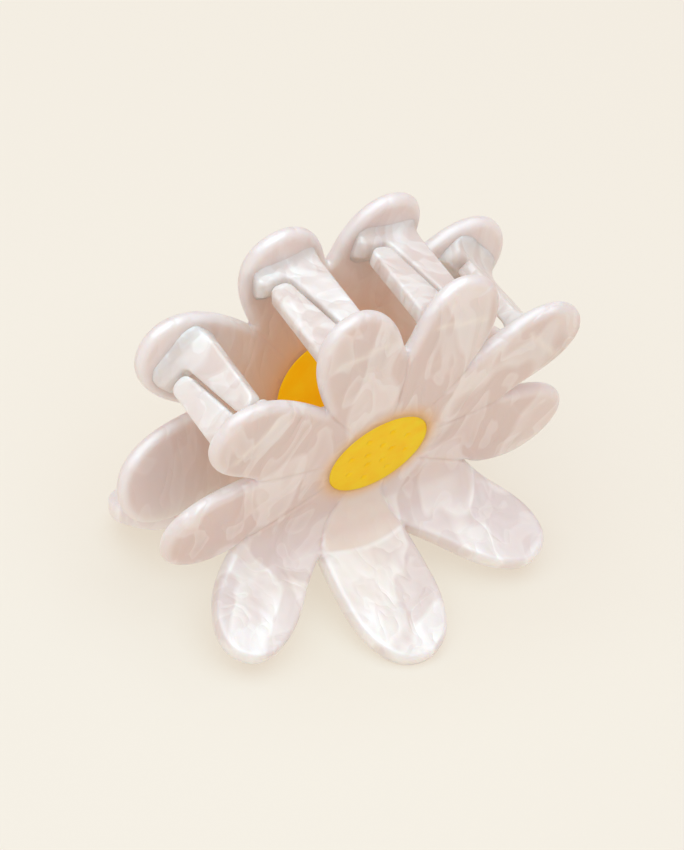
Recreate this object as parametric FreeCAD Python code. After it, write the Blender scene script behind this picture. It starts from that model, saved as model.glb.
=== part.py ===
import FreeCAD, Part
import math
import os

# Flower claw clip: two equal nine-petalled sheets face each other and turn on one pin.
# The front half is modelled facing -Y, and the back half is the same piece turned half
# a turn about Z. X runs across the clip, along the pin, and Z is up.
os.makedirs("parts", exist_ok=True)

Vector = FreeCAD.Vector
Vector2d = FreeCAD.Base.Vector2d
X_AXIS = Vector(1, 0, 0)
Y_AXIS = Vector(0, 1, 0)
Z_AXIS = Vector(0, 0, 1)
ORIGIN = Vector(0, 0, 0)

# ---- driving dimensions, in millimetres and degrees ----
SHEET = 2.6                 # thickness of the flower sheet
RIM_ROUND = 0.9             # rounding of the sheet's edges
RIM_BANDS = 2               # bands that make up each round
DISC_HALF_GAP = 6.7         # from the clip's middle plane to the sheet's middle, at the disc
LEAN = 11.8                 # the sheet leans outwards by this at the disc
TOP_CURVE_FROM = 7.6        # above this height the sheet curves back in ...
TOP_CURVE = 0.97            # ... by this many degrees a millimetre
BEND_FROM = 8.7             # the handle's bend starts this far below the disc's centre ...
BEND_LENGTH = 12.0          # ... takes this much of the sheet ...
HANDLE_FLARE = 68.9         # ... and leaves the handle this far from vertical

# Petals of one side, from straight down to nearly straight up: angle from straight down,
# reach from the disc's centre, and half width.
PETALS = ((0.0, 36.7, 7.0), (40.8, 36.9, 6.1), (76.7, 32.5, 7.4), (119.2, 32.7, 6.7), (160.4, 30.4, 6.5))
# Radius of the notch above each of those petals.
NOTCHES = (19.2, 20.4, 19.8, 17.2, 19.9)
WIDEST_AT = 0.70            # a petal is widest at this share of its reach
TIP_POWER = 2.2             # superellipse power of the petal's rounded end
NOTCH_TRIM = 0.06           # share of a petal's side given over to the round in the notch
NOTCH_DEPTH = 0.35          # depth of that round, as a share of its width

DISC_R = 7.55               # yellow centre
GLUE_LINE = 0.02            # bond between the centre and the sheet

TOOTH_THICK = 2.4
TOOTH_ROOT_HALF = 4.9       # half width of a tooth's root
TOOTH_TIP_OUTER = 3.95      # outer edge of the tooth at its tip
TOOTH_TIP_INNER = 0.95      # inner edge of the tooth at its tip
TOOTH_ROOT_INNER = 0.45     # inner edge of the tooth at its root, past the petal's middle
TOOTH_TIP_ROUND = 1.35
LEDGE = 1.5                 # height of the short half of the root
LEDGE_ROUND = 1.2
DOCK_ROUND = 1.2            # hollow corner that the other tooth's tip comes to
TOOTH_CLEARANCE = 0.6       # between a tip and the root it comes to
ROOT_SINK = 1.3             # the root is drawn this deep into the sheet, then trimmed to it
# Teeth: petal angle, radius of the plate's middle, and tilt of the plate from level.
TEETH = ((-119.2, 25.7, 48.0), (-160.4, 23.3, 9.0), (160.4, 23.3, -9.0), (119.2, 25.7, -48.0))

HINGE_DROP = 9.0            # pin below the disc's centre
PIN_R = 1.0
PIN_HEAD_R = 1.7
PIN_HEAD = 0.6
RUNNING_GAP = 0.05          # radial play of the front ears on the pin
KNUCKLE_R = 2.7
EAR_BELOW = 4.6             # an ear's root reaches this far below the pin ...
EAR_ABOVE = 1.1             # ... and this far above it, clear of the centre's hole
EAR_SINK_Y = 5.3            # the ear's root is drawn to here, then trimmed to the sheet
EAR_THICK = 2.3
EAR_INNER_X = 4.0           # inner ear's inner face
EAR_OUTER_X = 6.6           # outer ear's inner face
HEAD_GAP = 0.15             # pin head to ear

WIRE_R = 0.5
COIL_R = 1.95
COIL_HALF = 3.3             # half length of the coil, along the pin
WHOLE_TURNS = 5
LEG_LENGTH = 11.0
LEG_LEAN = 11.5             # a leg leans out from vertical by this
ELBOW = 1.02                # round where a leg leaves the coil, as a share of the wire

STEP = 0.1                  # step used to add up the sheet's line
LOW_END = -38.0             # the sheet's line runs from here ...
HIGH_END = 34.0             # ... to here
LINE_SPACING = 1.0
PETAL_POINTS = 7            # points on each of a petal's four quarters
SEW = 1e-4                  # tolerance for sewing faces together


# ---- the sheet's line, seen from the side ----
def smooth(share):
    share = min(max(share, 0.0), 1.0)
    return share * share * (3.0 - 2.0 * share)


def lean_at(height):
    """Lean of the sheet, in radians, at a distance along it from the disc's centre."""
    curved = math.radians(TOP_CURVE) * max(height - TOP_CURVE_FROM, 0.0)
    flare = smooth((-height - BEND_FROM) / BEND_LENGTH) * math.radians(LEAN + HANDLE_FLARE)
    return math.radians(LEAN) - curved - flare


def sheet_point(height, offset):
    """Point (0, -distance out, up) at a distance along the sheet, offset outwards."""
    steps = max(int(round(abs(height) / STEP)), 1)
    part = height / steps
    out = DISC_HALF_GAP
    up = 0.0
    for i in range(steps):
        lean = lean_at((i + 0.5) * part)
        out += part * math.sin(lean)
        up += part * math.cos(lean)
    lean = lean_at(height)
    return Vector(0, -out - offset * math.cos(lean), up - offset * math.sin(lean))


def sheet_surface(offset):
    """Surface of the bent sheet: U runs along its line in millimetres, V along X."""
    count = int(round((HIGH_END - LOW_END) / LINE_SPACING))
    heights = [LOW_END + i * LINE_SPACING for i in range(count + 1)]
    line = Part.BSplineCurve()
    line.interpolate(Points=[sheet_point(h, offset) for h in heights], Parameters=heights)
    return Part.SurfaceOfExtrusion(line, X_AXIS)


def inner_distance(up):
    """Distance of the sheet's inner face from the middle plane at a height above the disc."""
    low, high = LOW_END, HIGH_END
    while high - low > STEP / 10:
        middle = (low + high) / 2
        if sheet_point(middle, -SHEET / 2).z < up:
            low = middle
        else:
            high = middle
    return -sheet_point(low, -SHEET / 2).y


# ---- the flower's flat outline ----
def flat(angle, along, across):
    """Flat point from a place on a petal: angle from straight down, then along and across it."""
    a = math.radians(angle - 90.0)
    x = along * math.cos(a) - across * math.sin(a)
    y = along * math.sin(a) + across * math.cos(a)
    return Vector2d(y, x)


def all_petals():
    """Nine petals counter-clockwise: angle, reach, half width, notch before, notch after."""
    right = []
    for i, (angle, reach, half) in enumerate(PETALS):
        before = NOTCHES[max(i - 1, 0)]
        right.append((angle, reach, half, before, NOTCHES[i]))
    left = [(-a, reach, half, after, before) for a, reach, half, before, after in reversed(right[1:])]
    return left + right


def petal_points(petal, angle_before, angle_after):
    """Points of one petal's edge, from just past one notch to just before the next."""
    angle, reach, half, notch_before, notch_after = petal
    widest = WIDEST_AT * reach

    def side(notch, notch_angle):
        """One side of the petal, from its notch to its widest place."""
        turn = math.radians(abs(notch_angle - angle))
        start = notch * math.cos(turn)
        places = []
        for i in range(PETAL_POINTS):
            share = NOTCH_TRIM + (1.0 - NOTCH_TRIM) * i / PETAL_POINTS
            along = start + (widest - start) * share
            across = half - (half - notch * math.sin(turn)) * (1.0 - share) ** 2
            places.append((along, across))
        return places

    points = [flat(angle, along, -across) for along, across in side(notch_before, angle_before)]
    for i in range(2 * PETAL_POINTS + 1):
        turn = math.pi * i / (2 * PETAL_POINTS) - math.pi / 2
        along = widest + (reach - widest) * math.cos(turn) ** (2 / TIP_POWER)
        across = math.copysign(half * abs(math.sin(turn)) ** (2 / TIP_POWER), turn)
        points.append(flat(angle, along, across))
    points += [flat(angle, along, across) for along, across in reversed(side(notch_after, angle_after))]
    return points


def moved_in(points, inset):
    """The same run of points, moved square to itself into the petal."""
    moved = []
    last = len(points) - 1
    for i, point in enumerate(points):
        along = points[min(i + 1, last)] - points[max(i - 1, 0)]
        inwards = along.perpendicular(False)
        moved.append(point - inwards * (inset / inwards.length()))
    return moved


def notch_round(start, end):
    """Small round between two petals, hollow towards the disc's centre."""
    middle = (start + end) * 0.5
    depth = NOTCH_DEPTH * (end - start).length()
    deepest = middle - middle * (depth / middle.length())
    return Part.Geom2d.ArcOfCircle2d(start, deepest, end)


def flower_curves(inset):
    """The flower's closed outline: one curve a petal and one small round a notch."""
    petals = all_petals()
    count = len(petals)
    angles = [petal[0] for petal in petals]
    middles = [(angles[i] + angles[i + 1]) / 2 for i in range(count - 1)] + [180.0]
    befores = [middles[-1] - 360.0] + middles[:-1]
    runs = [moved_in(petal_points(*group), inset) for group in zip(petals, befores, middles)]
    curves = []
    for i, run in enumerate(runs):
        petal = Part.Geom2d.BSplineCurve2d()
        petal.interpolate(run)
        curves.append(petal)
        curves.append(notch_round(run[-1], runs[(i + 1) % count][0]))
    return curves


# ---- solids ----
def wire_on(surface, curves):
    return Part.Wire([curve.toShape(surface) for curve in curves])


def walls(wires):
    """Ruled faces that join each wire to the next."""
    faces = []
    for wire, following in zip(wires, wires[1:]):
        for edge, other in zip(wire.Edges, following.Edges):
            faces.append(Part.makeRuledSurface(edge, other))
    return faces


def bent_solid(levels, hole_r=0.0):
    """Solid through flat outlines at offsets from the sheet's middle, outer face first."""
    surfaces = [sheet_surface(offset) for offset, curves in levels]
    wires = [wire_on(surface, level[1]) for surface, level in zip(surfaces, levels)]
    ends = [Part.Face(surfaces[0], wires[0]), Part.Face(surfaces[-1], wires[-1])]
    faces = walls(wires)
    if hole_r:
        hole = [Part.Geom2d.Circle2d(Vector2d(0, 0), hole_r)]
        hole_wires = [wire_on(surfaces[0], hole), wire_on(surfaces[-1], hole)]
        discs = [Part.Face(surfaces[0], hole_wires[0]), Part.Face(surfaces[-1], hole_wires[1])]
        ends = [end.cut(disc).Faces[0] for end, disc in zip(ends, discs)]
        faces += walls(hole_wires)
    shell = Part.Shell(ends + faces)
    shell.sewShape()
    solid = Part.Solid(shell)
    solid.fix(SEW, SEW, SEW)
    return solid


def flower():
    """Nine-petalled sheet with round edges and a hole for its centre."""
    half_levels = []
    for i in range(RIM_BANDS + 1):
        turn = math.radians(90.0 * (1.0 - i / RIM_BANDS))
        offset = SHEET / 2 - RIM_ROUND * (1.0 - math.sin(turn))
        half_levels.append((offset, flower_curves(RIM_ROUND * (1.0 - math.cos(turn)))))
    levels = half_levels + [(-offset, curves) for offset, curves in reversed(half_levels)]
    return bent_solid(levels, DISC_R)


def centre():
    """Yellow disc let into the sheet, flush with both faces."""
    circle = [Part.Geom2d.Circle2d(Vector2d(0, 0), DISC_R - GLUE_LINE)]
    return bent_solid([(SHEET / 2, circle), (-SHEET / 2, circle)])


def corner_round(before, corner, after, radius):
    """Arc that rounds a corner, with the points where it leaves the two sides."""
    back = (before - corner).normalize()
    on = (after - corner).normalize()
    half = back.getAngle(on) / 2
    reach = radius / math.tan(half)
    middle = (back + on).normalize() * (radius / math.sin(half) - radius)
    start = corner + back * reach
    end = corner + on * reach
    return start, Part.Arc(start, corner + middle, end).toShape(), end


def rounded_face(corners):
    """Flat face with straight sides: corners are (point, radius), and radius 0 is sharp."""
    count = len(corners)
    edges = []
    starts = []
    ends = []
    for i, (point, radius) in enumerate(corners):
        if radius:
            before = corners[i - 1][0]
            after = corners[(i + 1) % count][0]
            start, arc, end = corner_round(before, point, after, radius)
            edges.append(arc)
        else:
            start = end = point
        starts.append(start)
        ends.append(end)
    edges += [Part.makeLine(ends[i], starts[(i + 1) % count]) for i in range(count)]
    return Part.Face(Part.Wire(Part.sortEdges(edges)[0]))


def tooth(angle, along, tilt, sheet):
    """One tooth plate on the front flower: X is across the plate, and Y runs to the other half."""
    place = math.radians(angle - 90.0)
    x = along * math.cos(place)
    height = along * math.sin(place)
    up = sheet_point(height, 0.0).z
    inner = inner_distance(up)
    root = -inner - ROOT_SINK
    tip = inner - LEDGE - TOOTH_CLEARANCE
    corners = [
        (Vector(-TOOTH_ROOT_HALF, root, 0), 0.0),
        (Vector(-TOOTH_TIP_OUTER, tip, 0), TOOTH_TIP_ROUND),
        (Vector(-TOOTH_TIP_INNER, tip, 0), TOOTH_TIP_ROUND),
        (Vector(TOOTH_ROOT_INNER, LEDGE - inner, 0), DOCK_ROUND),
        (Vector(TOOTH_ROOT_HALF, LEDGE - inner, 0), LEDGE_ROUND),
        (Vector(TOOTH_ROOT_HALF, root, 0), 0.0),
    ]
    plate = rounded_face(corners).extrude(Vector(0, 0, TOOTH_THICK))
    plate.translate(Vector(0, 0, -TOOTH_THICK / 2))
    plate.rotate(ORIGIN, Y_AXIS, -tilt)
    plate.translate(Vector(x, 0, up))
    return plate.cut(sheet)


def ear(from_x, hole_r, sheet):
    """Hinge ear on the front flower's inner face, round about the pin."""
    root = [
        Vector(from_x, -EAR_SINK_Y, -HINGE_DROP - EAR_BELOW),
        Vector(from_x, 0, -HINGE_DROP - KNUCKLE_R),
        Vector(from_x, 0, -HINGE_DROP + KNUCKLE_R),
        Vector(from_x, -EAR_SINK_Y, -HINGE_DROP + EAR_ABOVE),
    ]
    web = Part.Face(Part.makePolygon(root + root[:1])).extrude(X_AXIS * EAR_THICK)
    on_pin = Vector(from_x, 0, -HINGE_DROP)
    knuckle = Part.makeCylinder(KNUCKLE_R, EAR_THICK, on_pin, X_AXIS)
    hole = Part.makeCylinder(hole_r, EAR_THICK, on_pin, X_AXIS)
    return web.fuse(knuckle).removeSplitter().cut(hole).cut(sheet)


def pin():
    """Hinge pin with a flat head at each end, fixed in the back ears."""
    half = EAR_OUTER_X + EAR_THICK + HEAD_GAP
    middle = Vector(-half, 0, -HINGE_DROP)
    shaft = Part.makeCylinder(PIN_R, 2 * half, middle, X_AXIS)
    heads = [
        Part.makeCylinder(PIN_HEAD_R, PIN_HEAD, middle - X_AXIS * PIN_HEAD, X_AXIS),
        Part.makeCylinder(PIN_HEAD_R, PIN_HEAD, middle + X_AXIS * 2 * half, X_AXIS),
    ]
    return shaft.fuse(heads).removeSplitter()


def leg(point, direction):
    """Straight spring leg with round ends, off one end of the coil."""
    rod = Part.makeCylinder(WIRE_R, LEG_LENGTH, point, direction)
    elbow = Part.makeSphere(WIRE_R * ELBOW, point)
    tip = Part.makeSphere(WIRE_R, point + direction * LEG_LENGTH)
    return rod.fuse([elbow, tip])


def spring():
    """Torsion spring: a coil round the pin and a straight leg down each handle."""
    turns = WHOLE_TURNS + (180.0 - 2 * LEG_LEAN) / 360.0
    edge = Part.makeHelix(2 * COIL_HALF / turns, 2 * COIL_HALF, COIL_R).Edges[0]
    start, end = edge.valueAt(edge.FirstParameter), edge.valueAt(edge.LastParameter)
    into, out = edge.tangentAt(edge.FirstParameter), edge.tangentAt(edge.LastParameter)
    profile = Part.Wire(Part.makeCircle(WIRE_R, start, into))
    coil = Part.Wire(edge).makePipeShell([profile], True, True)
    back_leg = leg(start, Vector(-into.x, -into.y, 0).normalize())
    front_leg = leg(end, Vector(out.x, out.y, 0).normalize())
    whole = coil.fuse([back_leg, front_leg])
    whole.rotate(ORIGIN, Z_AXIS, LEG_LEAN)
    whole.translate(Vector(0, 0, -COIL_HALF))
    whole.rotate(ORIGIN, Vector(1, 1, 1), 120.0)    # carries X, Y, Z to Y, Z, X
    whole.translate(Vector(0, 0, -HINGE_DROP))
    return whole


# ---- the clip ----
def half_clip(side, hole_r):
    """Every piece of a half, by name, facing -Y."""
    sheet = flower()
    pieces = {side + "_flower": sheet, side + "_centre": centre()}
    for i, (angle, along, tilt) in enumerate(TEETH):
        pieces["%s_tooth_%d" % (side, i + 1)] = tooth(angle, along, tilt, sheet)
    pieces[side + "_ear_left"] = ear(-EAR_OUTER_X - EAR_THICK, hole_r, sheet)
    pieces[side + "_ear_right"] = ear(EAR_INNER_X, hole_r, sheet)
    return pieces


def clip():
    """The whole clip, closed, standing on its handle petals with Z = 0 under them."""
    pieces = half_clip("back", PIN_R)
    for shape in pieces.values():
        shape.rotate(ORIGIN, Z_AXIS, 180.0)
    pieces.update(half_clip("front", PIN_R + RUNNING_GAP))
    pieces["hinge_pin"] = pin()
    pieces["hinge_spring"] = spring()
    lowest = pieces["front_flower"].optimalBoundingBox(False).ZMin
    for shape in pieces.values():
        shape.translate(Vector(0, 0, -lowest))
    print("disc centre height %.3f, pin height %.3f" % (-lowest, -lowest - HINGE_DROP))
    return pieces


for name, shape in clip().items():
    print("%-14s valid %s, %d solid, %8.1f mm3" % (name, shape.isValid(), len(shape.Solids), shape.Volume))
    shape.exportStep("parts/%s.step" % name)
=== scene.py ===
import math

import bmesh
import bpy
import numpy as np
from mathutils import Matrix, Vector, geometry


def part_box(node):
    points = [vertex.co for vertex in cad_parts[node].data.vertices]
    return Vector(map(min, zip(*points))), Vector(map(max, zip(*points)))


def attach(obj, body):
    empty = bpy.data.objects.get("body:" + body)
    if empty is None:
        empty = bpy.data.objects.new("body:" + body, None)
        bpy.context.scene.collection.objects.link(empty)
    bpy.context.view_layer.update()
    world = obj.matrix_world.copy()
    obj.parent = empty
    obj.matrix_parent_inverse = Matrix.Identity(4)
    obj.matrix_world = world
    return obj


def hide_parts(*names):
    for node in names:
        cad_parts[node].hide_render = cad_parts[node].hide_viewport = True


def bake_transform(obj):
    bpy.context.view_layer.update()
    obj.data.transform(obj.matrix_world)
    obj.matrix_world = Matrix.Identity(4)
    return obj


# Flower claw clip: pearl-marbled flowers with yellow centres, tooth plates and a sprung hinge.
# Sizes are in millimetres, as in the CAD model, and meshes are made in metres.
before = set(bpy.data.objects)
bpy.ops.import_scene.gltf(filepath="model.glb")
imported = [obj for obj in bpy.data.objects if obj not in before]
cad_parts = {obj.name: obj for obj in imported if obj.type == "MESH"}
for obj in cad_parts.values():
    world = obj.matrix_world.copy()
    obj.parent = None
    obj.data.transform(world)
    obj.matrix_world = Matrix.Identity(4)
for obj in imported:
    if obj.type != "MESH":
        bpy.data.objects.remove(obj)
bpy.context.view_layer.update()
MM = 0.001


def node_middle(node):
    low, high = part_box(node)
    return (low + high) / 2 / MM


# ---- driving dimensions ----
PIN_Z = node_middle("hinge_pin").z
HINGE_DROP = 9.0            # pin below the disc's centre
DISC_Z = PIN_Z + HINGE_DROP
SHEET = 2.6                 # thickness
DISC_HALF_GAP = 6.7         # from the clip's middle plane to the sheet's middle, at the disc
LEAN = math.radians(11.8)   # the sheet leans out by this much at the disc
TOP_CURVE_FROM = 7.6        # above this it turns back in ...
TOP_CURVE = math.radians(0.97)    # ... by this much a millimetre
BEND_FROM = 8.7             # the handle starts to bend out this far below the disc's centre ...
BEND_LENGTH = 12.0          # ... and is bent after this much more of the sheet
HANDLE_FLARE = math.radians(68.9)    # from upright, once bent
# One side's petals from the lowest up: angle from straight down, reach, half width.
PETALS = ((0.0, 36.7, 7.0), (40.8, 36.9, 6.1), (76.7, 32.5, 7.4),
          (119.2, 32.7, 6.7), (160.4, 30.4, 6.5))
NOTCHES = (19.2, 20.4, 19.8, 17.2, 19.9)    # reach of the notches, from the lowest up
WIDEST_AT = 0.70            # a petal's widest place, as a share of its reach
TIP_POWER = 2.2             # 2 gives an oval tip, more gives a squarer one
NOTCH_TRIM = 0.06           # share of a petal's side that the round in a notch takes up
NOTCH_DEPTH = 0.35          # depth of that round, as a share of its width
DISC_R = 7.55
# Angle from straight down, distance along it, and the plate's own tilt.
TEETH = ((-119.2, 25.7, 48.0), (-160.4, 23.3, 9.0), (160.4, 23.3, -9.0), (119.2, 25.7, -48.0))

# ---- mesh detail ----
RIM = 1.1                   # round of the sheet's edge on the upright part
LOW_RIM = 0.6               # and on the handle
CROWN = 0.2                 # the sheet is this much thicker away from its edge, each side
CROWN_WIDTH = 3.0           # most of that is gained over this far in from the edge
RIM_TURNS = (15, 32, 50, 70, 90)    # degrees round the edge, one row of points each
ROW_KEEP = 0.9              # a row's point stays if it is this share of its distance in
OUTLINE_STEP = 0.42
LATTICE = 0.75              # spacing of the points away from the edges
EXTRA_GAP = 0.35            # least distances between points, as shares of the spacing
FILL_GAP = 0.6
FILL_MARGIN = 0.4
MERGED = 1e-6               # points as close as this are one
SIDE_POINTS = 16
TIP_POINTS = 61
NOTCH_POINTS = 9
HOLE_SIDES = 96
CREASE_DEPTH = 0.28
CREASE_WIDTH = 0.24
CREASE_ROWS = (-0.6, -0.28, 0.0, 0.28, 0.6)
CREASE_STEP = 0.4
CREASE_CLEAR = (0.8, 0.6)   # its points keep this far from the disc and from the notch
INNER_CREASE = 0.4          # depth on the inner face, as a share
CREASE_START = 4.0          # a crease deepens over this far out from the disc ...
CREASE_PAST = 1.0           # ... and ends this far past its notch ...
CREASE_END = 1.5            # ... fading over this far


# ---- the sheet's line, seen from the side ----
def smooth(share):
    share = np.clip(share, 0.0, 1.0)
    return share * share * (3.0 - 2.0 * share)


def lean_at(height):
    curved = TOP_CURVE * np.clip(height - TOP_CURVE_FROM, 0.0, None)
    flare = smooth((-height - BEND_FROM) / BEND_LENGTH) * (LEAN + HANDLE_FLARE)
    return LEAN - curved - flare


LINE = np.linspace(-40.0, 36.0, 1521)


def added_up(slope):
    steps = (slope[1:] + slope[:-1]) / 2 * np.diff(LINE)
    total = np.concatenate([[0.0], np.cumsum(steps)])
    return total - np.interp(0.0, LINE, total)


LINE_OUT = DISC_HALF_GAP + added_up(np.sin(lean_at(LINE)))
LINE_UP = added_up(np.cos(lean_at(LINE)))


def bent(x, height, offset):
    """Points of the front flower: across, along the sheet, and out from its middle."""
    lean = lean_at(height)
    out = np.interp(height, LINE, LINE_OUT) + offset * np.cos(lean)
    up = np.interp(height, LINE, LINE_UP) - offset * np.sin(lean)
    return np.stack([x + 0 * out, -out, DISC_Z + up], -1)


def inner_y(up):
    """Where the front flower's inner face is, at heights above the disc's centre."""
    lean = lean_at(LINE)
    face_up = LINE_UP + SHEET / 2 * np.sin(lean)
    face_out = LINE_OUT - SHEET / 2 * np.cos(lean)
    return -np.interp(up, face_up, face_out)


# ---- the flower's flat outline ----
def flat(angle, along, across):
    """Flat points along and across a line from the centre, at an angle from straight down."""
    a = math.radians(angle - 90.0)
    along, across = np.asarray(along, float), np.asarray(across, float)
    x = along * math.cos(a) - across * math.sin(a)
    y = along * math.sin(a) + across * math.cos(a)
    return np.stack([x, y], -1)


def all_petals():
    """Angle, reach, half width and the notches before and after, for each petal in turn."""
    right = [(angle, reach, half, NOTCHES[max(i - 1, 0)], NOTCHES[i])
             for i, (angle, reach, half) in enumerate(PETALS)]
    left = [(-angle, reach, half, after, before)
            for angle, reach, half, before, after in reversed(right[1:])]
    return left + right


def notch_angles():
    angles = [petal[0] for petal in all_petals()]
    return [(a + b) / 2 for a, b in zip(angles, angles[1:])] + [180.0]


def petal_side(petal, notch, notch_angle):
    """One side of a petal from its notch up to its widest place, along and across it."""
    angle, reach, half = petal[:3]
    widest = WIDEST_AT * reach
    turn = math.radians(abs(notch_angle - angle))
    start = notch * math.cos(turn)
    share = NOTCH_TRIM + (1.0 - NOTCH_TRIM) * np.arange(SIDE_POINTS) / SIDE_POINTS
    along = start + (widest - start) * share
    across = half - (half - notch * math.sin(turn)) * (1.0 - share) ** 2
    return along, across


def petal_run(petal, before, after):
    """A petal's outline, between the angles of the notches before and after it."""
    angle, reach, half, notch_before, notch_after = petal
    widest = WIDEST_AT * reach
    along, across = petal_side(petal, notch_before, before)
    first = flat(angle, along, -across)
    turn = np.linspace(-math.pi / 2, math.pi / 2, TIP_POINTS)
    tip_along = widest + (reach - widest) * np.cos(turn).clip(0) ** (2 / TIP_POWER)
    tip_across = np.sign(turn) * half * np.abs(np.sin(turn)) ** (2 / TIP_POWER)
    tip = flat(angle, tip_along, tip_across)
    along, across = petal_side(petal, notch_after, after)
    return np.concatenate([first, tip, flat(angle, along, across)[::-1]])


def notch_round(start, end):
    """Points of the small round in a notch, without its ends."""
    middle = (start + end) / 2
    chord = np.linalg.norm(end - start)
    depth = NOTCH_DEPTH * chord
    radius = (chord ** 2 / 4 + depth ** 2) / (2 * depth)
    inwards = -middle / np.linalg.norm(middle)
    centre = middle + inwards * (depth - radius)
    mid = math.atan2(*inwards[::-1])

    def turn_to(point):
        turn = math.atan2(*(point - centre)[::-1])
        return mid + (turn - mid + math.pi) % (2 * math.pi) - math.pi

    turns = np.linspace(turn_to(start), turn_to(end), NOTCH_POINTS + 2)[1:-1]
    return centre + radius * np.stack([np.cos(turns), np.sin(turns)], -1)


def even(points, spacing):
    """A closed run of points, spaced evenly."""
    closed = np.concatenate([points, points[:1]])
    length = np.concatenate([[0.0], np.cumsum(np.linalg.norm(np.diff(closed, axis=0), axis=1))])
    count = int(length[-1] / spacing)
    at = np.linspace(0.0, length[-1], count, endpoint=False)
    return np.stack([np.interp(at, length, closed[:, k]) for k in (0, 1)], -1)


def flower_outline():
    petals = all_petals()
    afters = notch_angles()
    befores = [afters[-1] - 360.0] + afters[:-1]
    runs = [petal_run(*group) for group in zip(petals, befores, afters)]
    parts = []
    for i, run in enumerate(runs):
        parts += [run, notch_round(run[-1], runs[(i + 1) % len(runs)][0])]
    return np.concatenate(parts)


# ---- filling a flat outline with triangles ----
def inwards_of(loop):
    along = np.roll(loop, -1, 0) - np.roll(loop, 1, 0)
    along /= np.linalg.norm(along, axis=1)[:, None]
    return np.stack([-along[:, 1], along[:, 0]], -1)


def distance_to(points, loop):
    """Distance from each point to a closed loop of segments."""
    a = loop
    b = np.roll(loop, -1, 0)
    best = np.full(len(points), 1e9)
    for start, end in zip(a, b):
        d = end - start
        t = np.clip(((points - start) @ d) / (d @ d), 0.0, 1.0)
        best = np.minimum(best, np.linalg.norm(points - start - t[:, None] * d, axis=1))
    return best


def is_inside(points, loop):
    x, y = points[:, 0], points[:, 1]
    inside = np.zeros(len(points), bool)
    for (x0, y0), (x1, y1) in zip(loop, np.roll(loop, -1, 0)):
        crosses = (y0 > y) != (y1 > y)
        with np.errstate(divide="ignore", invalid="ignore"):
            inside ^= crosses & (x < (x1 - x0) * (y - y0) / (y1 - y0) + x0)
    return inside


def lattice(low, high, spacing):
    rows = np.arange(low[1], high[1], spacing * math.sqrt(3) / 2)
    points = []
    for i, y in enumerate(rows):
        x = np.arange(low[0] + (i % 2) * spacing / 2, high[0], spacing)
        points.append(np.stack([x, np.full_like(x, y)], -1))
    return np.concatenate(points)


def thin_out(points, taken, gap):
    """The points that are at least a gap away from the ones already taken."""
    keep = np.ones(len(points), bool)
    for start in range(0, len(points), 400):
        block = points[start:start + 400]
        near = np.linalg.norm(block[:, None] - taken[None], axis=2).min(1)
        keep[start:start + 400] = near > gap
    return points[keep]


def triangulate(outline, rim, spacing, extra=None, hole=None):
    """Flat triangles inside an outline, with rows of points that follow its rim."""
    normals = inwards_of(outline)
    rows = []
    for turn in RIM_TURNS:
        share = 1 - math.cos(math.radians(turn))
        row = outline + normals * rim * share
        rows.append(row[distance_to(row, outline) > ROW_KEEP * rim * share])
    taken = np.concatenate([outline] + rows)
    loops = [outline]
    if hole is not None:
        loops.append(hole)
        taken = np.concatenate([taken, hole])
    if extra is not None:
        rows.append(thin_out(extra, taken, spacing * EXTRA_GAP))
        taken = np.concatenate([taken, rows[-1]])
    fill = lattice(outline.min(0), outline.max(0), spacing)
    fill = fill[is_inside(fill, outline)]
    fill = fill[distance_to(fill, outline) > rim + spacing * FILL_MARGIN]
    if hole is not None:
        fill = fill[~is_inside(fill, hole)]
    fill = thin_out(fill, taken, spacing * FILL_GAP)
    points = np.concatenate(loops + rows + [fill])
    edges = []
    start = 0
    for loop in loops:
        n = len(loop)
        edges += [(start + i, start + (i + 1) % n) for i in range(n)]
        start += n
    vectors = [Vector(p) for p in points.tolist()]
    joined = geometry.delaunay_2d_cdt(vectors, edges, [], 0, MERGED)
    points = np.array([tuple(v) for v in joined[0]])
    faces = np.array([f for f in joined[2] if len(f) == 3])
    middles = points[faces].mean(1)
    keep = is_inside(middles, outline)
    if hole is not None:
        keep &= ~is_inside(middles, hole)
    return points, faces[keep]


def make_mesh(name, points, faces, **marks):
    """Mesh object from points in millimetres; marks are named values, one a point."""
    mesh = bpy.data.meshes.new(name)
    corners = [tuple(int(i) for i in face) for face in faces]
    mesh.from_pydata((np.asarray(points) * MM).tolist(), [], corners)
    mesh.update()
    mesh.polygons.foreach_set("use_smooth", [True] * len(mesh.polygons))
    for mark, values in marks.items():
        kept = mesh.attributes.new(mark, "FLOAT", "POINT")
        kept.data.foreach_set("value", np.asarray(values, np.float32))
    obj = bpy.data.objects.new(name, mesh)
    bpy.context.scene.collection.objects.link(obj)
    return obj


def rim_height(distance, rim, half):
    """Half thickness near a round edge, at a distance in from it."""
    share = np.clip(1.0 - distance / rim, 0.0, 1.0)
    return (half - rim) * (distance > 1e-4) + rim * np.sqrt(1.0 - share ** 2)


def two_sided(points, faces, place, edge_count, hole_count=0):
    """Closes a flat fill into a solid: place(side) gives the points of one side, +1 or -1.

    The first edge_count points are the outline, which both sides share, and the next
    hole_count are a hole, whose two sides are joined by a wall.
    """
    count = len(points)
    upper, lower = place(1), place(-1)
    a, b, c = faces.T
    d = points[b] - points[a]
    e = points[c] - points[a]
    flip = d[:, 0] * e[:, 1] - d[:, 1] * e[:, 0] < 0
    faces = faces.copy()
    faces[flip] = faces[flip][:, ::-1]
    below = np.arange(count) + count
    below[:edge_count] = np.arange(edge_count)
    wall = []
    for i in range(hole_count):
        p = edge_count + i
        q = edge_count + (i + 1) % hole_count
        wall.append((p, q, below[q], below[p]))
    return np.concatenate([upper, lower]), list(faces) + list(below[faces[:, ::-1]]) + wall


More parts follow.
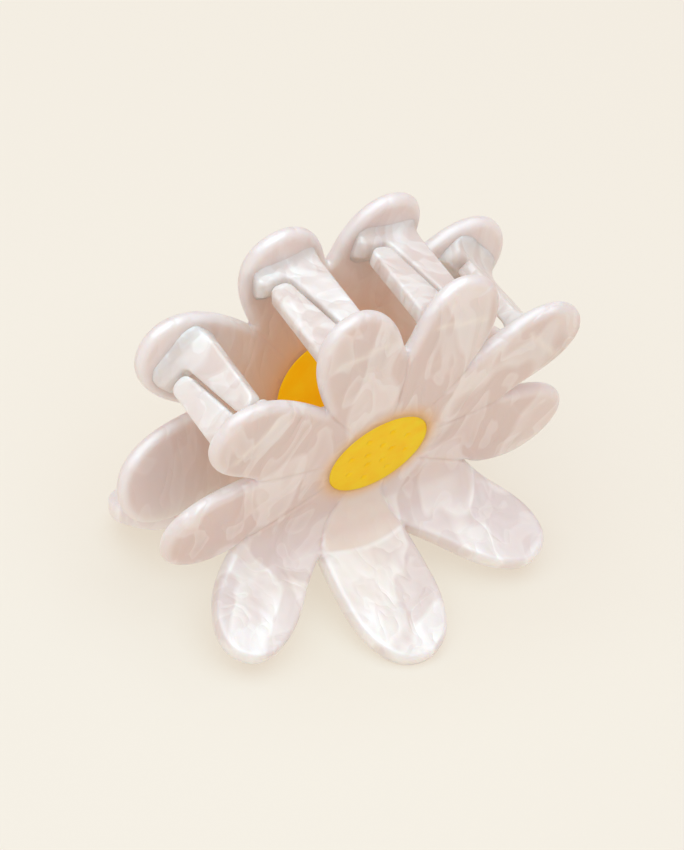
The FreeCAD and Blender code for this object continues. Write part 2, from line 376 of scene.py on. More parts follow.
def clean(obj):
    """Drops points that no face uses and turns every face outwards."""
    bm = bmesh.new()
    bm.from_mesh(obj.data)
    loose = [v for v in bm.verts if not v.link_faces]
    bmesh.ops.delete(bm, geom=loose, context="VERTS")
    bmesh.ops.recalc_face_normals(bm, faces=bm.faces)
    bm.to_mesh(obj.data)
    bm.free()
    obj.data.validate()
    return obj


# ---- flowers ----
def crease_points():
    """Points beside the fine creases that run from the disc to each notch."""
    points = []
    for angle, notch in zip(notch_angles(), [p[4] for p in all_petals()]):
        for across in CREASE_ROWS:
            along = np.arange(DISC_R + CREASE_CLEAR[0], notch - CREASE_CLEAR[1], CREASE_STEP)
            points.append(flat(angle, along, across))
    return np.concatenate(points)


def crease_depth(points):
    """Depth of the creases at flat points, deepest by the notches."""
    depth = np.zeros(len(points))
    for angle, notch in zip(notch_angles(), [p[4] for p in all_petals()]):
        a = math.radians(angle - 90.0)
        along = points @ np.array([math.cos(a), math.sin(a)])
        across = points @ np.array([-math.sin(a), math.cos(a)])
        starts = smooth((along - DISC_R) / CREASE_START)
        share = starts * smooth((notch + CREASE_PAST - along) / CREASE_END)
        groove = share * CREASE_DEPTH * np.exp(-(across / CREASE_WIDTH) ** 2)
        depth = np.maximum(depth, groove)
    return depth


PAD_REACH = 19.5            # the lowest petal is plain from the disc to here on its middle line ...
PAD_CURVE = 1.5             # ... and this much less far at its sides ...
PAD_HALF = 6.7              # ... this far from that line
PAD_LINES = math.radians(20.4)    # its sides are the creases, this far round from the middle line
MARK_LIMIT = 3.0            # distances beyond this aren't told apart
HANDLE_FROM = 13.0          # the edge starts to become the handle's this far below the disc's centre
HANDLE_FADE = 6.0           # ... and has done so after this much more
ROOT_LIGHT_HALF = 5.0             # painted light: a tooth's root shows through its petal as a bright line this long each side ...
ROOT_LIGHT_ABOVE = 0.6            # ... this far above the root's middle
ROOT_LIGHT_WIDTH = 0.45
ROOT_LIGHT_FADE = 1.5             # it fades over this far at its ends


def pad_distances(points):
    """Distance in from the sides and from the end of the lowest petal's plain patch."""
    down = -points[:, 1]
    aside = np.abs(points[:, 0])
    in_from_side = down * math.sin(PAD_LINES) - aside * math.cos(PAD_LINES)
    in_from_end = PAD_REACH - PAD_CURVE * (aside / PAD_HALF) ** 2 - down
    return [np.clip(d, -MARK_LIMIT, MARK_LIMIT) for d in (in_from_side, in_from_end)]


def low_share(points):
    """0 on the upright part, 1 on the handle."""
    return smooth((-points[:, 1] - HANDLE_FROM) / HANDLE_FADE)


def painted_root_light_share(points):
    """Where light is painted along the teeth's roots, which sit on the inner face and show through
    the sheet.
    """
    share = np.zeros(len(points))
    for angle, along, tilt in TEETH:
        middle = flat(angle, along, 0.0)
        turn = math.radians(tilt)
        across = (points - middle) @ np.array([math.cos(turn), math.sin(turn)])
        above = (points - middle) @ np.array([-math.sin(turn), math.cos(turn)])
        line = np.exp(-((above - ROOT_LIGHT_ABOVE) / ROOT_LIGHT_WIDTH) ** 2)
        share = np.maximum(share, line * smooth((ROOT_LIGHT_HALF - np.abs(across)) / ROOT_LIGHT_FADE))
    return share


def flower(side):
    """The front flower's sheet, with a hole for its centre; the back one is turned round later."""
    turns = np.linspace(0, 2 * math.pi, HOLE_SIDES, endpoint=False)
    hole = DISC_R * np.stack([np.cos(turns), np.sin(turns)], -1)
    outline = even(flower_outline(), OUTLINE_STEP)
    points, faces = triangulate(outline, RIM, LATTICE, crease_points(), hole)
    edge_distance = distance_to(points, outline)
    edge_distance[:len(outline)] = 0.0
    low = low_share(points)
    half = SHEET / 2 - CROWN * (1.0 - low) * np.exp(-(edge_distance / CROWN_WIDTH) ** 2)
    thick = rim_height(edge_distance, RIM - (RIM - LOW_RIM) * low, half)
    thick[:len(outline)] = 0.0
    creased = crease_depth(points)

    def place(way):
        depth = creased * (1.0 if way > 0 else INNER_CREASE)
        return bent(points[:, 0], points[:, 1], way * (thick - depth))

    solid, all_faces = two_sided(points, faces, place, len(outline), len(hole))
    in_from_side, in_from_end = pad_distances(points)
    none, full = np.zeros(len(points)), np.ones(len(points))
    marks = {
        "rim": np.tile(edge_distance, 2),
        "pad_side": np.concatenate([in_from_side, -MARK_LIMIT * full]),
        "pad_end": np.concatenate([in_from_end, -MARK_LIMIT * full]),
        "painted_root_light": np.concatenate([painted_root_light_share(points), none]),
        "inner": np.concatenate([none, full]),
    }
    return clean(make_mesh(side + "_pearl_flower", solid, all_faces, **marks))


# ---- yellow centres ----
DIMPLE_R = 0.42
DIMPLE_DEPTH = 0.26
DIMPLE_FALL = 1.6           # how steeply a dimple rises round its middle
DIMPLE_RINGS = ((0.62, 8, 33.0), (0.27, 5, 15.0))    # ring radius as a share, count, first angle


def dimples():
    """The middle of each dimple, across and up from the disc's centre."""
    for share, count, first in DIMPLE_RINGS:
        for i in range(count):
            a = math.radians(first + 360.0 * i / count)
            yield share * DISC_R * math.cos(a), share * DISC_R * math.sin(a)


CENTRE_GAP = 0.02           # between the disc and the edge of its hole
CENTRE_EDGE = 0.15          # width of the round at the disc's edge ...
CENTRE_DROP = 0.10          # ... and its depth
CENTRE_CROWN = 0.06
CENTRE_SIDES = 180
CENTRE_RINGS = 34
EDGE_RINGS = (0.12, 0.03, 0.0)    # the last rings' distances in from the edge


def centre(side):
    """Disc let into the sheet: dimpled and slightly crowned outside, flat inside."""
    radius = DISC_R - CENTRE_GAP
    rings = np.concatenate([np.linspace(0.25, radius - 0.3, CENTRE_RINGS),
                            [radius - inset for inset in EDGE_RINGS]])
    sides = CENTRE_SIDES
    turns = np.linspace(0, 2 * math.pi, sides, endpoint=False)
    grid = np.stack([np.outer(rings, np.cos(turns)), np.outer(rings, np.sin(turns))], -1)
    points = np.concatenate([[[0.0, 0.0]], grid.reshape(-1, 2)])
    r = np.linalg.norm(points, axis=1)
    edge = np.clip((radius - r) / CENTRE_EDGE, 0.0, 1.0)
    bottom = SHEET / 2 - CENTRE_DROP * (1.0 - edge) ** 2
    top = bottom + CENTRE_CROWN * (1.0 - (r / radius) ** 2)
    for x, y in dimples():
        near = np.hypot(points[:, 0] - x, points[:, 1] - y) / DIMPLE_R
        top = top - DIMPLE_DEPTH * np.exp(-near ** 2 * DIMPLE_FALL)
    outer = bent(points[:, 0], points[:, 1], top)
    inner = bent(points[:, 0], points[:, 1], -bottom)
    count = len(points)
    faces = []
    for k in range(sides):
        n = (k + 1) % sides
        faces.append((0, 1 + k, 1 + n))
        for j in range(len(rings) - 1):
            a, b = 1 + j * sides, 1 + (j + 1) * sides
            faces.append((a + k, b + k, b + n, a + n))
    back = [tuple(i + count for i in f[::-1]) for f in faces]
    last = 1 + (len(rings) - 1) * sides
    wall = []
    for k in range(sides):
        here, after = last + k, last + (k + 1) % sides
        wall.append((here, here + count, after + count, after))
    solid = np.concatenate([outer, inner])
    return clean(make_mesh(side + "_yellow_centre", solid, faces + back + wall))


# ---- teeth ----
TOOTH_THICK = 2.4
TOOTH_ROOT_HALF = 4.9       # half the plate's length at its root
LEDGE = 1.5                 # one end of the plate rises only this far, to meet the other half's tip
LEDGE_ROUND = 1.2
TOOTH_ROOT_INNER = 0.45     # the ledge turns up into the tooth this far from the plate's middle
DOCK_ROUND = 1.2            # round of that turn
TOOTH_TIP_INNER = 0.95      # the tip runs from this far past the middle ...
TOOTH_TIP_OUTER = 3.95      # ... to this far
TOOTH_TIP_ROUND = 1.35
TOOTH_CLEARANCE = 0.6       # left between a tip and the other half's ledge
ROOT_SINK = 1.1             # the root goes this far into the sheet
TOOTH_STEP = 0.22           # spacing of the outline's points
TOOTH_LATTICE = 0.34        # and of the ones inside it
CORNER_STEP = 0.15          # and of the ones that round a corner
CORNER_STEPS = 4            # a corner has at least this many steps
TOOTH_EDGE = 0.45           # round of a tooth's long edges
FILLET = 2.3                # round where a tooth meets its petal


def rounded(corners):
    """Closed outline with round corners, from (x, y, radius)."""
    out = []
    count = len(corners)
    for i in range(count):
        p = np.array(corners[i][:2])
        r = corners[i][2]
        a = np.array(corners[i - 1][:2]) - p
        b = np.array(corners[(i + 1) % count][:2]) - p
        a /= np.linalg.norm(a)
        b /= np.linalg.norm(b)
        if r == 0:
            out.append(p[None])
            continue
        half = math.acos(np.clip(a @ b, -1, 1)) / 2
        reach = r / math.tan(half)
        middle = p + (a + b) / np.linalg.norm(a + b) * r / math.sin(half)
        v0, v1 = p + a * reach - middle, p + b * reach - middle
        sweep = math.pi - 2 * half
        turn = math.copysign(1.0, v0[0] * v1[1] - v0[1] * v1[0])
        n = max(int(r * sweep / CORNER_STEP), CORNER_STEPS)
        for k in range(n + 1):
            t = turn * sweep * k / n
            out.append((middle + [v0[0] * math.cos(t) - v0[1] * math.sin(t),
                                  v0[0] * math.sin(t) + v0[1] * math.cos(t)])[None])
    return np.concatenate(out)


def tooth(side, number, angle, along, tilt):
    """Plate that stands in from a petal, rooted in its inner face and flared where it meets it."""
    place = math.radians(angle - 90.0)
    x = along * math.cos(place)
    up = float(np.interp(along * math.sin(place), LINE, LINE_UP))
    inner = -float(inner_y(up))
    root = -inner - ROOT_SINK
    tip = inner - LEDGE - TOOTH_CLEARANCE
    corners = [
        (-TOOTH_ROOT_HALF, root, 0.0),
        (TOOTH_ROOT_HALF, root, 0.0),
        (TOOTH_ROOT_HALF, LEDGE - inner, LEDGE_ROUND),
        (TOOTH_ROOT_INNER, LEDGE - inner, DOCK_ROUND),
        (-TOOTH_TIP_INNER, tip, TOOTH_TIP_ROUND),
        (-TOOTH_TIP_OUTER, tip, TOOTH_TIP_ROUND),
    ]
    outline = even(rounded(corners), TOOTH_STEP)
    points, faces = triangulate(outline, TOOTH_EDGE, TOOTH_LATTICE)
    edge = distance_to(points, outline)
    edge[:len(outline)] = 0.0
    turn = math.radians(tilt)
    level = np.array([math.cos(turn), 0.0, math.sin(turn)])
    normal = np.array([-math.sin(turn), 0.0, math.cos(turn)])
    face = inner_y(up + points[:, 0] * math.sin(turn))
    off_face = np.clip((points[:, 1] - face) / FILLET, 0.0, 1.0)
    off_end = np.clip((TOOTH_ROOT_HALF - np.abs(points[:, 0])) / FILLET, 0.0, 1.0)
    flare = FILLET * (1.0 - np.sqrt(1.0 - (1.0 - off_face) ** 2))
    flare = flare * np.sqrt(1.0 - (1.0 - off_end) ** 2)
    thick = rim_height(edge, TOOTH_EDGE, TOOTH_THICK / 2 + flare)
    thick[:len(outline)] = 0.0
    origin = np.array([x, 0.0, DISC_Z + up])

    def put(way):
        along_y = points[:, 1:2] * np.array([0.0, 1.0, 0.0])
        return origin + points[:, :1] * level + along_y + (way * thick)[:, None] * normal

    solid, all_faces = two_sided(points, faces, put, len(outline))
    return clean(make_mesh("%s_pearl_tooth_%d" % (side, number), solid, all_faces))


# ---- hinge pin and spring ----
LATHE_SIDES = 48


def lathe(name, profile):
    """Round piece about the pin's axis, from (x, radius) points that end on the axis."""
    sides = LATHE_SIDES
    turns = np.linspace(0, 2 * math.pi, sides, endpoint=False)
    rings = [np.stack([np.full(sides, x), r * np.cos(turns), PIN_Z + r * np.sin(turns)], -1)
             for x, r in profile[1:-1]]
    first, end = [[[profile[i][0], 0, PIN_Z]] for i in (0, -1)]
    points = np.concatenate([first] + rings + [end])
    last = len(points) - 1
    faces = []
    for k in range(sides):
        n = (k + 1) % sides
        faces.append((0, 1 + n, 1 + k))
        for j in range(len(rings) - 1):
            a, b = 1 + j * sides, 1 + (j + 1) * sides
            faces.append((a + k, a + n, b + n, b + k))
        base = 1 + (len(rings) - 1) * sides
        faces.append((last, base + k, base + n))
    return clean(make_mesh(name, points, faces))


PIN_R = 1.0
PIN_HEAD_R = 1.7
PIN_HEAD = 0.6              # length of a head
HEAD_EDGE = (0.02, 0.08)    # the head's inner edge: along from the neck, in from its radius
DOME_TURNS = np.linspace(0.25, 1.5, 8)


def pin():
    """Pin with a domed head at each end."""
    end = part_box("hinge_pin")[1].x / MM
    neck = end - PIN_HEAD
    dome = [(neck + PIN_HEAD * math.sin(t), PIN_HEAD_R * math.cos(t)) for t in DOME_TURNS]
    edge = (neck + HEAD_EDGE[0], PIN_HEAD_R - HEAD_EDGE[1])
    right = [(neck, PIN_R), edge] + dome + [(end, 0.0)]
    left = [(-x, r) for x, r in reversed(right)]
    return lathe("steel_pin", left + right)


WIRE_R = 0.5
COIL_R = 1.95
COIL_HALF = 3.3
WHOLE_TURNS = 5
LEG_LENGTH = 11.0
LEG_LEAN = math.radians(11.5)
LEG_POINTS = np.array([1.0, 0.8, 0.6, 0.4, 0.2, 0.08])    # places along a leg, as shares of it
TURN_POINTS = 28


def spring():
    """Torsion spring: the coil winds along X, with a leg down each handle."""
    sweep = 2 * math.pi * WHOLE_TURNS + math.pi - 2 * LEG_LEAN
    count = int(TURN_POINTS * sweep / (2 * math.pi))
    path = []
    for i in range(count + 1):
        share = i / count
        a = LEG_LEAN + sweep * share
        x = -COIL_HALF + 2 * COIL_HALF * share
        path.append((x, COIL_R * math.cos(a), PIN_Z + COIL_R * math.sin(a)))
    path = np.array(path)
    down = np.array([0.0, math.sin(LEG_LEAN), -math.cos(LEG_LEAN)])
    steps = LEG_LENGTH * LEG_POINTS
    back_leg = path[0] + steps[:, None] * down
    front_leg = path[-1] + steps[::-1][:, None] * (down * np.array([1, -1, 1]))
    path = np.concatenate([back_leg, path, front_leg])
    curve = bpy.data.curves.new("spring_line", "CURVE")
    curve.dimensions = "3D"
    line = curve.splines.new("POLY")
    line.points.add(len(path) - 1)
    weighted = np.concatenate([path * MM, np.ones((len(path), 1))], 1)
    line.points.foreach_set("co", weighted.ravel())
    line.use_smooth = True
    curve.bevel_depth = WIRE_R * MM
    curve.bevel_resolution = 5
    curve.use_fill_caps = True
    shape = bpy.data.objects.new("spring_line", curve)
    bpy.context.scene.collection.objects.link(shape)
    bpy.context.view_layer.update()
    finished = shape.evaluated_get(bpy.context.evaluated_depsgraph_get())
    mesh = bpy.data.meshes.new_from_object(finished)
    bpy.data.objects.remove(shape)
    bpy.data.curves.remove(curve)
    obj = bpy.data.objects.new("steel_spring", mesh)
    bpy.context.scene.collection.objects.link(obj)
    return obj


# ---- materials ----
HANDLE_HEIGHTS = (0.017, 0.009)    # metres up, where the handle's look starts and is complete


class Nodes:
    """Short ways to add shader nodes to one material."""

    def __init__(self, name):
        self.material = bpy.data.materials.new(name)
        self.material.use_nodes = True
        self.tree = self.material.node_tree
        self.shader = self.tree.nodes["Principled BSDF"]

    def add(self, kind, **settings):
        node = self.tree.nodes.new(kind)
        for key, value in settings.items():
            if hasattr(node, key):
                setattr(node, key, value)
            else:
                node.inputs[key.replace("_", " ")].default_value = value
        return node

    def link(self, a, b):
        self.tree.links.new(a, b)

    def set(self, **settings):
        for key, value in settings.items():
            self.shader.inputs[key.replace("_", " ")].default_value = value

    def put(self, value, socket):
        """Gives a socket a number, a colour or what another node gives out."""
        if isinstance(value, (int, float)):
            socket.default_value = value
        elif isinstance(value, tuple):
            socket.default_value = (*value, 1.0)
        else:
            self.link(value, socket)

    def ramp(self, source, stops):
        node = self.tree.nodes.new("ShaderNodeValToRGB")
        ramp = node.color_ramp
        while len(ramp.elements) < len(stops):
            ramp.elements.new(0.5)
        for element, (place, colour) in zip(ramp.elements, stops):
            element.position = place
            element.color = (*colour, 1.0)
        self.link(source, node.inputs["Fac"])
        return node.outputs["Color"]

    def mix(self, factor, a, b):
        node = self.tree.nodes.new("ShaderNodeMix")
        node.data_type = "RGBA"
        self.put(factor, node.inputs["Factor"])
        self.put(a, node.inputs[6])
        self.put(b, node.inputs[7])
        return node.outputs[2]

    def fold(self, spot, scale):
        """Distance from the middle of a noise: a sheet with sharp creases where it turns."""
        noise = self.add("ShaderNodeTexNoise", Scale=scale, Detail=1.0, Roughness=0.4)
        self.link(spot.outputs["Vector"], noise.inputs["Vector"])
        return self.maths("ABSOLUTE", self.less(noise.outputs["Fac"], 0.5))

    def mark(self, name):
        """A value kept on the mesh's points."""
        node = self.tree.nodes.new("ShaderNodeAttribute")
        node.attribute_name = name
        return node.outputs["Fac"]

    def rise(self, value, start, full):
        """0 where the value is at start or before, rising smoothly to 1 at full."""
        share = self.tree.nodes.new("ShaderNodeMapRange")
        share.interpolation_type = "SMOOTHSTEP"
        share.inputs["From Min"].default_value = start
        share.inputs["From Max"].default_value = full
        self.link(value, share.inputs["Value"])
        return share.outputs["Result"]

    def handle_share(self, where):
        """0 on the upright part of the clip, rising to 1 on its handles."""
        parts = self.add("ShaderNodeSeparateXYZ")
        self.link(where.outputs["Object"], parts.inputs[0])
        return self.rise(parts.outputs["Z"], *HANDLE_HEIGHTS)

    def maths(self, operation, a, b=0.0, clamp=False):
        """The outcome of a sum; clamp keeps it between 0 and 1."""
        node = self.tree.nodes.new("ShaderNodeMath")
        node.operation = operation
        node.use_clamp = clamp
        self.put(a, node.inputs[0])
        self.put(b, node.inputs[1])
        return node.outputs[0]

    def times(self, a, b):
        return self.maths("MULTIPLY", a, b)

    def less(self, whole, part, clamp=False):
        return self.maths("SUBTRACT", whole, part, clamp)


def linear(red, green, blue):
    """A display colour, 0 to 255, as linear light."""
    def one(value):
        value /= 255.0
        return value / 12.92 if value <= 0.04045 else ((value + 0.055) / 1.055) ** 2.4
    return one(red), one(green), one(blue)


def grey(level):
    return (level,) * 3


# Pearl plastic. Noise scales are in turns a metre, and places and widths in metres,
# apart from the ones that are read from the marks on the mesh, which are in millimetres.
BODY = linear(226, 210, 204)            # between the flakes, on the upright part
# painted light: the base between the flakes is lighter and cooler on the handles, which face up to
# the light
HANDLE_LIT_BODY = linear(232, 224, 223)
FLAKES = linear(255, 252, 251)
PAD_COLOUR = linear(241, 230, 221)
PAD_LINE = linear(255, 253, 252)        # light line where the plain patch ends
# painted light where a tooth's root shows through its petal
PAINTED_ROOT_LIGHT = linear(255, 246, 238)
# painted sheen along the rounded rim of the upright part
RIM_SHEEN = linear(243, 236, 237)
LEAK = linear(240, 176, 70)             # painted yellow light: the centre's yellow, seen through the plastic
FLAKE_TURN = (0.3, 0.5, 0.9)
FLAKE_STRETCH = (1.0, 1.0, 0.5)
WARP_SCALE = 95.0
WARP_REACH = 0.009
WIDE_FOLDS, SMALL_FOLDS = 85.0, 300.0
BROAD_FLAKES = (115.0, 0.49, 0.68)      # scale, then the noise's level at each end of the patches
FINE_FLAKES = (310.0, 0.50, 0.70)
FLAKE_EDGE = 0.04                       # share of the noise over which the sharp edge rises
FLAKE_DEPTH = 0.0018
CALM = 0.5                              # how strongly the flakes show on the upright part
PAD_CALM, INNER_CALM = 0.85, 0.55       # share of them that's hidden on the patch and inside
PAD_FADES = (0.7, 0.9)                  # the patch starts over this far in from its side and end
RIM_SHEEN_REACH = (1.6, 0.2)                  # the painted sheen on the rim starts this far in, and is full by here
LINE_SHARPNESS = 1.8
LINE_FADE = 1.5
LEAK_WIDTH, INNER_LEAK_WIDTH = 0.0032, 0.0200
SMALL_PART, FINE_PART = (0.75, 0.55), (0.6, 0.35)    # strength, and how much the handles lose of it
BROAD_PART, THIN_PART = 0.75, 0.15
PAD_TINT, LINE_TINT, ROOT_LIGHT_TINT, RIM_SHEEN_TINT = 0.7, 0.75, 0.5, 0.6    # strengths of the marks' colours; the root line and the rim's sheen are painted light
LEAK_TINT, INNER_LEAK_TINT = 0.75, 0.6
PLATE_GLOW = (0.6, 0.95, 1.0)           # stands for the light that passes through the plastic
TOOTH_GLOW = 0.05                       # its strength on the teeth ...
INNER_GLOW = 0.05                       # ... and on the sheets' inner faces


def crumple(n, where, shift):
    """The object's place, turned, drawn out along one way and gently warped."""
    moved = n.add("ShaderNodeMapping")
    moved.inputs["Location"].default_value = shift
    moved.inputs["Rotation"].default_value = FLAKE_TURN
    moved.inputs["Scale"].default_value = FLAKE_STRETCH
    n.link(where.outputs["Object"], moved.inputs["Vector"])
    warp = n.add("ShaderNodeTexNoise", Scale=WARP_SCALE, Detail=1.0, Roughness=0.5)
    n.link(moved.outputs["Vector"], warp.inputs["Vector"])
    pulled = n.add("ShaderNodeVectorMath", operation="SCALE")
    pulled.inputs["Scale"].default_value = WARP_REACH
    n.link(warp.outputs["Color"], pulled.inputs[0])
    spot = n.add("ShaderNodeVectorMath", operation="ADD")
    n.link(moved.outputs["Vector"], spot.inputs[0])
    n.link(pulled.outputs["Vector"], spot.inputs[1])
    return spot


def flake(n, spot, scale, start, stop):
    """Patches that are brightest along their sharp edge."""
    noise = n.add("ShaderNodeTexNoise", Scale=scale, Detail=1.0, Roughness=0.35)
    n.link(spot.outputs["Vector"], noise.inputs["Vector"])
    stops = [(start, grey(0.0)), (start + FLAKE_EDGE, grey(1.0)), (stop, grey(0.4))]
    return n.ramp(noise.outputs["Fac"], stops)


def disc_glow(n, where, colour, strength, width):
    """Yellow light that leaks from the centre into a ring of the plastic round it."""
    parts = n.add("ShaderNodeSeparateXYZ")
    n.link(where.outputs["Object"], parts.inputs[0])
    up = n.less(parts.outputs["Z"], DISC_Z * MM)
    across = n.times(parts.outputs["X"], parts.outputs["X"])
    reach = n.maths("SQRT", n.maths("ADD", across, n.times(up, up)))
    past = n.maths("DIVIDE", n.less(reach, DISC_R * MM), width)
    fade = n.less(1.0, past, clamp=True)
    return n.mix(n.times(n.times(fade, fade), strength), colour, LEAK)


def pearl(name, shift, glow, sheet=False):
    """Pearl plastic: a clear skin over crumpled, satin-like flakes in a milky body.

    The flakes show faintly on the upright part and in full on the handles, whose base is painted
    lighter and cooler where they face up to the light. A sheet also has its marks (the plain patch,
    the painted light over the teeth's roots, the painted sheen on the rim) and the painted yellow
    light round the centre.
    """
    n = Nodes(name)
    where = n.add("ShaderNodeTexCoord")
    spot = crumple(n, where, shift)
    low = n.handle_share(where)
    shown = n.maths("MAXIMUM", low, CALM)
    if sheet:
        pad_side, pad_end, inner = n.mark("pad_side"), n.mark("pad_end"), n.mark("inner")
        pad = n.times(n.rise(pad_side, 0.0, PAD_FADES[0]), n.rise(pad_end, 0.0, PAD_FADES[1]))
        shown = n.times(shown, n.less(1.0, n.times(pad, PAD_CALM)))
        shown = n.times(shown, n.less(1.0, n.times(inner, INNER_CALM)))

    wide = n.fold(spot, WIDE_FOLDS)
    small = n.times(n.fold(spot, SMALL_FOLDS), n.less(SMALL_PART[0], n.times(low, SMALL_PART[1])))
    bump = n.add("ShaderNodeBump", Distance=FLAKE_DEPTH)
    n.link(n.times(n.maths("ADD", shown, 0.5), 0.6), bump.inputs["Strength"])
    n.link(n.maths("ADD", wide, small), bump.inputs["Height"])
    n.link(bump.outputs["Normal"], n.shader.inputs["Normal"])

    broad = flake(n, spot, *BROAD_FLAKES)
    fine = n.times(flake(n, spot, *FINE_FLAKES), n.less(FINE_PART[0], n.times(low, FINE_PART[1])))
    thin = n.ramp(wide, [(0.0, grey(1.0)), (0.02, grey(0.2)), (0.05, grey(0.0))])
    light = n.maths("ADD", n.times(broad, BROAD_PART), fine)
    light = n.maths("ADD", light, n.times(thin, THIN_PART), clamp=True)
    # towards the handles the base turns lighter and cooler: painted light where they face up
    colour = n.mix(n.times(light, shown), n.mix(low, BODY, HANDLE_LIT_BODY), FLAKES)
    if sheet:
        colour = n.mix(n.times(pad, PAD_TINT), colour, PAD_COLOUR)
        line = n.less(1.0, n.times(n.maths("ABSOLUTE", pad_end), LINE_SHARPNESS), clamp=True)
        line = n.times(line, n.rise(pad_side, 0.0, LINE_FADE))
        colour = n.mix(n.times(line, LINE_TINT), colour, PAD_LINE)
        # painted light along the teeth's roots, seen through the sheet
        colour = n.mix(n.times(n.mark("painted_root_light"), ROOT_LIGHT_TINT), colour, PAINTED_ROOT_LIGHT)
        # painted sheen along the rounded rim, left off the handles
        rim = n.times(n.rise(n.mark("rim"), *RIM_SHEEN_REACH), n.less(1.0, low))
        colour = n.mix(n.times(rim, RIM_SHEEN_TINT), colour, RIM_SHEEN)
        colour = disc_glow(n, where, colour, LEAK_TINT, LEAK_WIDTH)
        inside = n.times(inner, INNER_LEAK_TINT)
        colour = disc_glow(n, where, colour, inside, INNER_LEAK_WIDTH)
        n.link(n.times(inner, INNER_GLOW), n.shader.inputs["Emission Strength"])
    n.link(colour, n.shader.inputs["Base Color"])
    rough = n.ramp(broad, [(0.0, grey(0.50)), (1.0, grey(0.42))])
    n.link(rough, n.shader.inputs["Roughness"])
    n.set(IOR=1.45, Metallic=0.18, Subsurface_Weight=0.5, Subsurface_Scale=0.004)
    n.set(Coat_Weight=0.08, Coat_Roughness=0.3)
    n.set(Emission_Color=(*PLATE_GLOW, 1.0), Emission_Strength=glow)
    n.shader.inputs["Subsurface Radius"].default_value = (1.0, 0.62, 0.45)
    return n.material


CENTRE_GLOW = {"front": 0.03, "back": 0.22}    # stands for the light inside the yellow plastic


def yellow(name, glow):
    """Yellow plastic, faintly cloudy, with a fine grain."""
    n = Nodes(name)
    where = n.add("ShaderNodeTexCoord")
    cloud = n.add("ShaderNodeTexNoise", Scale=320.0, Detail=3.0)
    n.link(where.outputs["Object"], cloud.inputs["Vector"])
    stops = [(0.3, linear(255, 205, 14)), (0.7, linear(255, 220, 36))]
    colour = n.ramp(cloud.outputs["Fac"], stops)
    n.link(colour, n.shader.inputs["Base Color"])
    grain = n.add("ShaderNodeTexNoise", Scale=2600.0, Detail=2.0)
    n.link(where.outputs["Object"], grain.inputs["Vector"])
    bump = n.add("ShaderNodeBump", Strength=0.05, Distance=0.0002)
    n.link(grain.outputs["Fac"], bump.inputs["Height"])
    n.link(bump.outputs["Normal"], n.shader.inputs["Normal"])
    n.set(Roughness=0.5, Specular_IOR_Level=0.12, Subsurface_Weight=0.35, Subsurface_Scale=0.002)
    n.set(Emission_Color=(*linear(255, 150, 0), 1.0), Emission_Strength=glow)
    n.shader.inputs["Subsurface Radius"].default_value = (1.0, 0.55, 0.12)
    return n.material


def steel(name, shade, rough):
    """Drawn steel, with a little change of tone and roughness."""
    n = Nodes(name)
    where = n.add("ShaderNodeTexCoord")
    draw = n.add("ShaderNodeTexNoise", Scale=1500.0, Detail=3.0)
    n.link(where.outputs["Object"], draw.inputs["Vector"])
    value = n.ramp(draw.outputs["Fac"], [(0.3, grey(rough - 0.06)), (0.7, grey(rough + 0.08))])
    n.link(value, n.shader.inputs["Roughness"])
    tone = n.ramp(draw.outputs["Fac"], [(0.3, grey(shade * 0.92)), (0.7, grey(shade))])
    n.link(tone, n.shader.inputs["Base Color"])
    n.set(Metallic=1.0)
    return n.material


def dress(obj, material, slot, body, *nodes):
    """Gives a piece its material, the body it rides on and the nodes it replaces; slot is not used.
    """
    obj.data.materials.clear()
    obj.data.materials.append(material)
    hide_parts(*nodes)
    if body:
        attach(obj, body)
    return obj


# ---- the clip ----
def half(side, shift):
    """One half of the clip, made facing the front and turned round for the back."""
    body = side + "_half"
    sheet = pearl(side + "_pearl", shift, 0.0, sheet=True)
    plates = pearl(side + "_tooth_pearl", shift, TOOTH_GLOW)
    yolk = yellow(side + "_yellow", CENTRE_GLOW[side])
    pieces = [(flower(side), sheet, "pearl_sheet", side + "_flower"),
              (centre(side), yolk, "yellow_centre", side + "_centre")]
    for number, (angle, along, tilt) in enumerate(TEETH, 1):
        plate = tooth(side, number, angle, along, tilt)
        pieces.append((plate, plates, "pearl_tooth", "%s_tooth_%d" % (side, number)))
    for obj, material, slot, node in pieces:
        if side == "back":
            obj.data.transform(Matrix.Rotation(math.pi, 4, "Z"))
        dress(obj, material, slot, body, node)
    for name in ("left", "right"):    # the ears are shown as the CAD model has them
        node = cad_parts["%s_ear_%s" % (side, name)]
        node.data.materials.clear()
        node.data.materials.append(plates)


half("front", (0.0, 0.0, 0.0))
half("back", (0.05, 0.21, 0.13))
dress(pin(), steel("pin_steel", 0.72, 0.22), "pin_steel", "back_half", "hinge_pin")
coil = dress(spring(), steel("spring_steel", 0.62, 0.28), "spring_steel", None, "hinge_spring")
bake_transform(coil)


# ---- camera, floor and light ----
VIEW_AZIMUTH = math.radians(-40.4)
VIEW_ELEVATION = math.radians(41.9)
VIEW_ROLL = math.radians(10.4)
VIEW_DISTANCE = 900.0
PIXELS_PER_MM = 7.50       # at the disc's height, in a frame 684 wide
FRAME_WIDTH = 684.0
SENSOR = 36.0
AIM_RIGHT = -0.50           # the camera's middle looks this far right of the clip's middle ...
AIM_UP = -1.26              # ... and this far above it, in mm


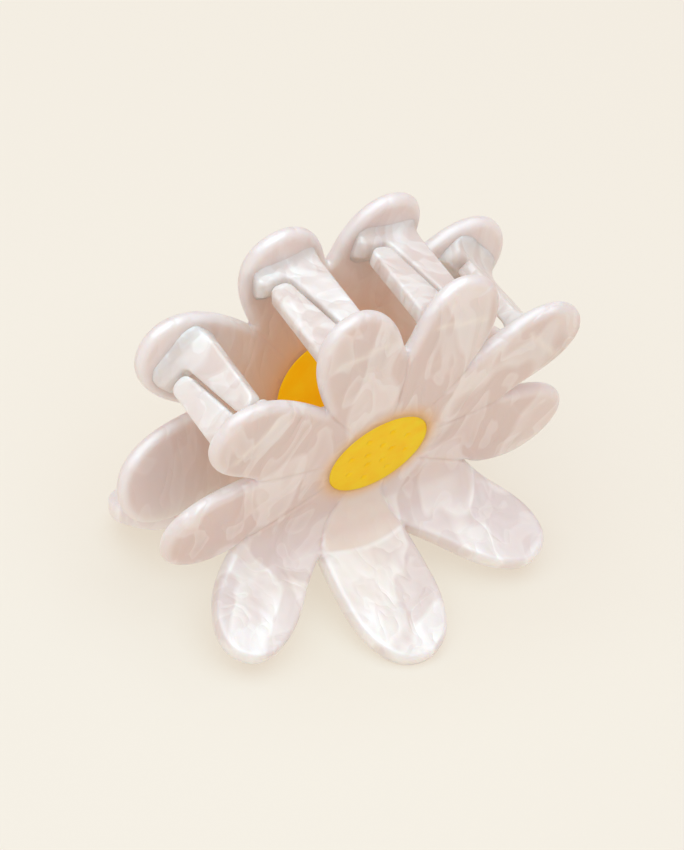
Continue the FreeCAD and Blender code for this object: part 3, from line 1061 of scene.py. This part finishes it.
def camera():
    data = bpy.data.cameras.new("camera")
    data.sensor_fit = "HORIZONTAL"
    data.sensor_width = SENSOR
    data.lens = PIXELS_PER_MM * VIEW_DISTANCE * SENSOR / FRAME_WIDTH
    data.clip_start = 0.05
    data.clip_end = 20.0
    back = Vector((math.sin(VIEW_AZIMUTH) * math.cos(VIEW_ELEVATION),
                   -math.cos(VIEW_AZIMUTH) * math.cos(VIEW_ELEVATION), math.sin(VIEW_ELEVATION)))
    level = Vector((math.cos(VIEW_AZIMUTH), math.sin(VIEW_AZIMUTH), 0.0))
    upright = back.cross(level)
    right = level * math.cos(VIEW_ROLL) + upright * math.sin(VIEW_ROLL)
    up = upright * math.cos(VIEW_ROLL) - level * math.sin(VIEW_ROLL)
    spot = Vector((0, 0, DISC_Z)) + right * AIM_RIGHT + up * AIM_UP + back * VIEW_DISTANCE
    obj = bpy.data.objects.new("camera", data)
    turn = Matrix((right, up, back)).transposed().to_4x4()
    obj.matrix_world = Matrix.Translation(spot * MM) @ turn
    bpy.context.scene.collection.objects.link(obj)
    bpy.context.scene.camera = obj


FLOOR_HALF = 4.0            # metres
FLOOR_COLOUR = (0.35, 0.35, 0.34)
FLOOR_GLOW = (0.545, 0.49, 0.405)    # stands for the light that the cream ground sends back
WORLD_COLOUR = (0.60, 0.42, 0.37)
KEY_COLOUR = (0.62, 0.90, 1.0)
KEY_PLACE = Vector((-0.18, -0.10, 0.80))
KEY_AIM = Vector((0.0, 0.0, 0.02))
KEY_SIZE = 1.3
KEY_POWER = 8.2


def key_light():
    data = bpy.data.lights.new("key", "AREA")
    data.shape = "DISK"
    data.size = KEY_SIZE
    data.energy = KEY_POWER
    data.color = KEY_COLOUR
    obj = bpy.data.objects.new("key", data)
    obj.location = KEY_PLACE
    obj.rotation_euler = (KEY_AIM - KEY_PLACE).to_track_quat("-Z", "Y").to_euler()
    bpy.context.scene.collection.objects.link(obj)


def floor():
    corners = [(x * FLOOR_HALF, y * FLOOR_HALF, 0) for x, y in ((-1, -1), (1, -1), (1, 1), (-1, 1))]
    mesh = bpy.data.meshes.new("floor")
    mesh.from_pydata(corners, [], [(0, 1, 2, 3)])
    obj = bpy.data.objects.new("floor", mesh)
    bpy.context.scene.collection.objects.link(obj)
    n = Nodes("cream_floor")
    n.set(Base_Color=(*FLOOR_COLOUR, 1.0), Roughness=0.9, Specular_IOR_Level=0.0)
    n.set(Emission_Color=(*FLOOR_GLOW, 1.0), Emission_Strength=1.0)
    mesh.materials.append(n.material)


def light():
    world = bpy.data.worlds.new("studio")
    bpy.context.scene.world = world
    world.use_nodes = True
    back = world.node_tree.nodes["Background"]
    back.inputs["Color"].default_value = (*WORLD_COLOUR, 1.0)
    back.inputs["Strength"].default_value = 1.0
    key_light()


camera()
floor()
light()
bpy.context.scene.view_settings.view_transform = "Standard"
